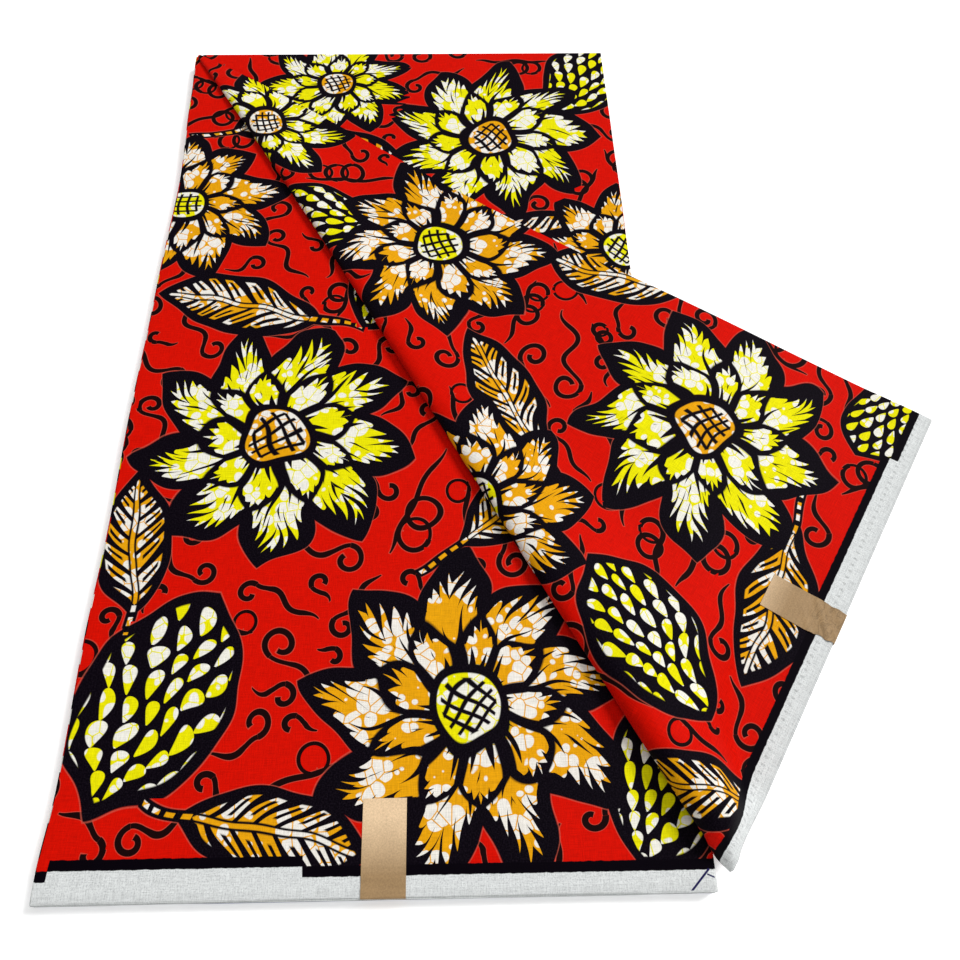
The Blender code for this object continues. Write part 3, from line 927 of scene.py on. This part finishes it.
def addPiece(name, points, quads, uvMaps, faceNumbers, material):
    mesh = bpy.data.meshes.new(name)
    mesh.from_pydata(points, [], quads)
    for layer, places in uvMaps.items():
        mesh.uv_layers.new(name=layer)
        mesh.uv_layers[layer].uv.foreach_set("vector", places.astype(np.float32).ravel())
    for layer, numbers in faceNumbers.items():
        made = mesh.attributes.new(layer, "FLOAT_VECTOR", "FACE")
        made.data.foreach_set("vector", numbers.astype(np.float32).ravel())
    mesh.validate()
    mesh.shade_smooth()
    mesh.set_sharp_from_angle(angle=math.radians(50))
    mesh.materials.append(material)
    piece = bpy.data.objects.new(name, mesh)
    bpy.context.scene.collection.objects.link(piece)
    return piece


def thinSheet(name, upper, lower, flat, mapsOf, material):
    # a closed sheet with the same print on both faces
    points, quads = closedSheet(upper, lower)
    places = np.concatenate([flat.reshape(-1, 2)] * 2)[quads]
    return addPiece(name, points, quads, *mapsOf(places), material)


def panelLayer(name, side, place, overhang, nearCut):
    grid = panelGrid(overhang, nearCut)
    along, across = grid[..., 0], grid[..., 1]
    middle = clothPoint(along, across)
    normal = clothNormal(along, across)
    upper = middle + normal * (place + turn["layer"] / 2)
    lower = middle + normal * (place - turn["layer"] / 2)

    def mapsOf(places):
        uvMaps, faceNumbers = motifMaps(places, side)
        uvMaps["flat"] = places + np.array([0.0, halfLength + overhang])
        return uvMaps, faceNumbers

    return thinSheet(name, upper, lower, flatPlaces(along, across), mapsOf, panelCotton)


turnedPanel = panelLayer("turnedPanel", "back", turn["layerPlace"], turn["overhang"], turn["nearCut"])
turnedPanelInner = panelLayer("turnedPanelInner", "face", -turn["layerPlace"],
                              turn["overhang"] + turn["peek"], turn["innerCut"])
print("turned panel")


# Edges of the stack: how many layers share a fold, how far it bulges, in metres
stack = {"layers": 34, "columns": 86, "rows": 160, "heights": (0.08, 0.5, 0.92), "seed": 3, "uneven": 0.0009,
         "wave": 0.0004,
         "left": {"share": 4, "start": 0, "bulge": 0.00055, "inset": 0.0004},
         "right": {"share": 4, "start": 2, "bulge": 0.00055, "inset": 0.0004},
         "far": {"share": 2, "start": 0, "bulge": 0.00032, "inset": 0.0006},
         "near": {"share": 1, "start": 0, "bulge": 0.00012, "inset": 0.0004}}


def edgeReach(side, height, place):
    # how far an edge stands out past the top sheet's rim, by height and place along the edge
    layer = height / stackTop * stack["layers"]
    group = np.floor((layer + side["start"]) / side["share"])
    low = np.clip(group * side["share"] - side["start"], 0, stack["layers"])
    high = np.clip((group + 1) * side["share"] - side["start"], 0, stack["layers"])
    share = (layer - low) / np.maximum(high - low, 0.01)
    bulge = side["bulge"] * np.sqrt(np.clip(1 - (2 * share - 1) ** 2, 0, 1))
    chance = np.sin(group * 12.9898 + stack["seed"]) * 43758.5453  # its fraction is a chance for each group
    chance = chance - np.floor(chance)
    wave = np.sin(place * 23 + group * 2.1) + np.sin(place * 61 + group * 4.7) * 0.5
    out = stack["uneven"] * chance + stack["wave"] * wave * chance
    return bulge + np.clip(out, 0, stack["uneven"]) * ease((stack["layers"] - layer) / 3) * ease(layer / 2)


def makeStack():
    left = -halfWidth + stack["left"]["inset"]
    right = halfWidth - stack["right"]["inset"]
    near = -halfLength + stack["near"]["inset"]
    far = halfLength - stack["far"]["inset"]
    rows, columns = stack["rows"], stack["columns"]
    gridX, gridY = np.meshgrid(np.linspace(left, right, columns), np.linspace(near, far, rows))
    lowered = settled(gridX, gridY) - creased("stack", gridX, gridY)
    top = np.stack([gridX, gridY, stackTop - lowered], axis=-1)
    x, y, rimLowered = rimOf(gridX), rimOf(gridY), rimOf(lowered)

    def reachOf(name, atEdge, height, place):
        return atEdge * edgeReach(stack[name], height, place)

    rings = []
    for layer in reversed(range(stack["layers"])):
        for part in reversed(stack["heights"]):
            height = (layer + part) / stack["layers"] * stackTop
            outX = reachOf("right", x == right, height, y) - reachOf("left", x == left, height, y)
            outY = reachOf("far", y == far, height, x) - reachOf("near", y == near, height, x)
            rings.append(np.stack([x + outX, y + outY, height * (1 - rimLowered / stackTop)], axis=-1))
    points, quads = closedSheet(top, top * (1, 1, 0), rings)
    quads = quads[:, ::-1]
    uvMaps, faceNumbers = motifMaps(points[quads][..., :2], "stack")
    uvMaps["flat"] = points[quads][..., :2] + np.array([0.0, halfLength])

    # the faces of the stack's sides come last, ring by ring
    faces = len(quads) - len(x) * (len(rings) + 1)
    number = np.arange(len(quads) - faces) % len(x)
    atNear = number < columns - 1
    atFar = (number >= columns + rows - 2) & (number < 2 * columns + rows - 3)
    sides = np.zeros((len(quads), 3))
    sides[faces:, 0], sides[faces:, 1] = ~atNear, atNear
    corners = points[quads[faces:]]
    run = np.where((atNear | atFar)[:, None], corners[..., 0], corners[..., 1])
    uvMaps["flat"][faces:] = np.stack([run, corners[..., 2]], axis=-1)
    faceNumbers["sides"] = sides
    points[:, :2] += np.stack(stackShift(points[:, 0], points[:, 1]), axis=-1)
    return points, quads, uvMaps, faceNumbers


foldedStack = addPiece("foldedStack", *makeStack(), stackCotton)
print("stack")


# Paper labels round the selvedges: metres
label = {"width": 0.0204, "reach": 0.0435, "middle": 0.0022, "paper": 0.00022, "lift": 0.00035,
         "foot": 0.0009, "turnRadius": 0.0008, "rows": 60, "columns": 12, "ripple": 0.00012,
         "rippleFrom": 0.016, "wrap": 0.0003, "crumple": 0.00045, "crumpleFrom": 0.026, "tone": 0.021,
         "uneven": 0.0011}
paper = labelPaper()


def labelGrid(drop):
    # (inward, x, up) of the label's points, from its inner end over the selvedge and down
    radius = label["turnRadius"]
    flatRun = [(inward, 0.0) for inward in np.linspace(label["reach"], radius, label["rows"])]
    bend = [(radius * (1 - math.sin(angle)), radius * (math.cos(angle) - 1))
            for angle in np.linspace(0, math.pi / 2, 7)[1:]]
    down = [(0.0, -radius - (drop - radius) * share) for share in (0.33, 0.66, 1.0)]
    path = np.array(flatRun + bend + down)
    xs = label["middle"] + label["width"] * np.linspace(-0.5, 0.5, label["columns"])
    inward, x = np.meshgrid(path[:, 0], xs, indexing="ij")
    return inward, x, np.repeat(path[:, 1:2], len(xs), axis=1)


def nearLabel():
    lift = label["lift"]
    inward, x, up = labelGrid(stackTop + lift - label["foot"] - settle["depth"])
    y = inward - halfLength - lift
    y = y + stackShift(x, y)[1] * ease(1.2 - inward / label["reach"])
    ripple = label["ripple"] * np.sin(inward * 900 + x * 120) * ease((label["rippleFrom"] - inward) / 0.010)
    z = stackTop - settled(x, y) + lift + up + ripple * (up == 0)
    return np.stack([x, y, z], axis=-1), np.stack([x, label["reach"] - inward - up], axis=-1)


def turnedLabel():
    lift = turn["layerPlace"] + turn["layer"] / 2 + label["lift"]
    inward, x, up = labelGrid(lift * 2)
    y = -halfLength - turn["overhang"] - turn["peek"] + np.maximum(inward - lift, 0)
    fromMiddle = np.linspace(-1, 1, label["columns"]) ** 3 + 0.35
    narrowing = (0.7 + 0.3 * np.sin(inward * 900)) * ease((label["rippleFrom"] - inward) / 0.006)
    x = x - label["uneven"] * narrowing * fromMiddle
    offset = np.stack([x, y], axis=-1) - foldStart
    middle = clothPoint(*rollPlaces(offset))
    outward = middle - clothPoint(*rollPlaces(offset + np.array([0.0, 0.0005])))
    outward = outward / np.linalg.norm(outward, axis=-1, keepdims=True)
    crumple = np.abs(np.sin(inward * 260 + x * 170)) + 0.7 * np.abs(np.sin(inward * 330 - x * 420 + 0.8))
    crumple = 1.2 - crumple + 0.4 * np.sin(inward * 1100 + x * 900)
    crumple = label["crumple"] * crumple * ease((label["crumpleFrom"] - inward) / 0.012) * (up == 0)
    out = lift + up + np.maximum(crumple, -label["ripple"])
    surface = middle + clothNormal(*rollPlaces(offset)) * out[..., None]
    surface = surface + outward * (np.maximum(lift - inward, 0) * label["wrap"] / lift)[..., None]
    # the turned label starts further along the painted gloss by its tone, so it shows the darker painted
    # shade
    return surface, np.stack([x, label["tone"] + label["reach"] - inward - up], axis=-1)


def addLabel(name, surface, flat):
    # paper of even thickness round the surface
    half = crossNormal(np.gradient(surface, axis=0), np.gradient(surface, axis=1)) * (label["paper"] / 2)
    return thinSheet(name, surface + half, surface - half, flat, lambda places: ({"flat": places}, {}), paper)


labelNear = addLabel("labelNear", *nearLabel())
labelTurned = addLabel("labelTurned", *turnedLabel())
print("labels")

for piece, node, slot in ((foldedStack, "folded_stack", "stack_cotton"),
                          (turnedPanel, "turned_panel", "panel_cotton"),
                          (turnedPanelInner, "turned_panel", "panel_cotton"),
                          (labelNear, "label_near", "label_paper"),
                          (labelTurned, "label_turned", "label_paper")):
    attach(piece, "root")
    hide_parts(node)


# Floor, light and camera
room = {"floor": inkOf(252, 252, 252), "floorSize": 8.0, "floorHeight": -0.0001, "glow": 0.30,
        "sky": 0.29, "skyColour": (1.0, 1.0, 1.0, 1.0),
        "lights": {"key": {"place": (3.51, 1.91, 4.79), "size": 2.0, "power": 318.0},
                   "top": {"place": (0.04, 0.09, 1.05), "size": 0.5, "power": 1.2},
                   "near": {"place": (0.15, -1.70, 2.2), "size": 1.4, "power": 12.0}}}


def makeFloor():
    mesh = bpy.data.meshes.new("floor")
    half = room["floorSize"] / 2
    corners = [(-half, -half, 0), (half, -half, 0), (half, half, 0), (-half, half, 0)]
    mesh.from_pydata(corners, [], [(0, 1, 2, 3)])
    net = Net("floor paint")
    mesh.materials.append(net.finish({"Base Color": room["floor"], "Roughness": 0.8,
                                      "Emission Color": room["floor"], "Emission Strength": room["glow"]}))
    floor = bpy.data.objects.new("floor", mesh)
    floor.location.z = room["floorHeight"]
    bpy.context.scene.collection.objects.link(floor)
    return floor


def makeLight(name, place, size, power):
    light = bpy.data.lights.new(name, "AREA")
    light.size = size
    light.energy = power
    lamp = bpy.data.objects.new(name, light)
    lamp.location = place
    lamp.rotation_mode = "QUATERNION"
    lamp.rotation_quaternion = (-lamp.location).to_track_quat("-Z", "Y")  # towards the middle of the floor
    bpy.context.scene.collection.objects.link(lamp)


floor = makeFloor()
world = bpy.data.worlds.new("studio")
bpy.context.scene.world = world
world.use_nodes = True
background = world.node_tree.nodes["Background"]
background.inputs["Color"].default_value = room["skyColour"]
background.inputs["Strength"].default_value = room["sky"]
for name, light in room["lights"].items():
    makeLight(name, **light)
bpy.context.scene.view_settings.view_transform = "Standard"

# The camera's place in metres, turns in degrees, and its lens, sensor and near limit
view = {"place": (0.034031, -0.313862, 0.448320), "turns": (28.398, -1.4445, -1.4414), "lens": 33.196,
        "sensor": 36.0, "near": 0.01}
camera = bpy.data.objects.new("camera", bpy.data.cameras.new("camera"))
camera.data.lens = view["lens"]
camera.data.sensor_width = view["sensor"]
camera.data.clip_start = view["near"]
camera.location = view["place"]
camera.rotation_euler = [math.radians(angle) for angle in view["turns"]]
bpy.context.scene.collection.objects.link(camera)
bpy.context.scene.camera = camera

print("scene done")
